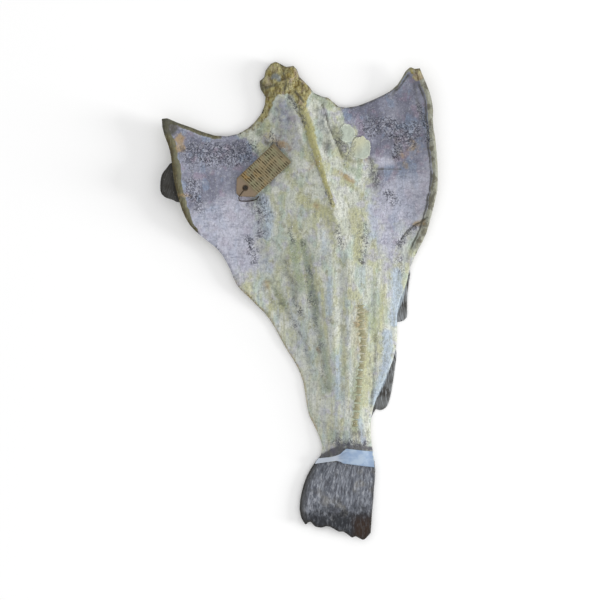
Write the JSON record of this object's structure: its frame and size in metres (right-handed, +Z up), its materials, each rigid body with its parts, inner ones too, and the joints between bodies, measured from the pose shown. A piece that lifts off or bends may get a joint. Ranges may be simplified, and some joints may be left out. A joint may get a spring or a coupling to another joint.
{
  "type": "salted dried cod",
  "caption": "Whole salted dried cod, headless, split and opened flat with the flesh side up, a stitched card tag near the neck and a ribbon round the root of the tail.",
  "frame": {"origin": "centre of the bounding box in plan, on the surface the skin side rests on", "axes": "+Y towards the neck, -Y towards the tail, +Z up out of the flesh side, +X to the right seen from above with the neck away"},
  "size_m": [0.4156, 0.7183, 0.0294],
  "materials": {
    "cod_flesh": "dry, fibrous and matt, dusted with salt",
    "tag_card": "rough brown kraft card",
    "dark_thread": "twisted dark thread",
    "pale_ribbon": "thin pale blue plastic ribbon, faintly glossy"
  },
  "bodies": {
    "root": {"cod": "cod_flesh", "paper_tag": "tag_card", "tag_thread": "dark_thread", "tail_band": "pale_ribbon"}
  },
  "joints": []
}
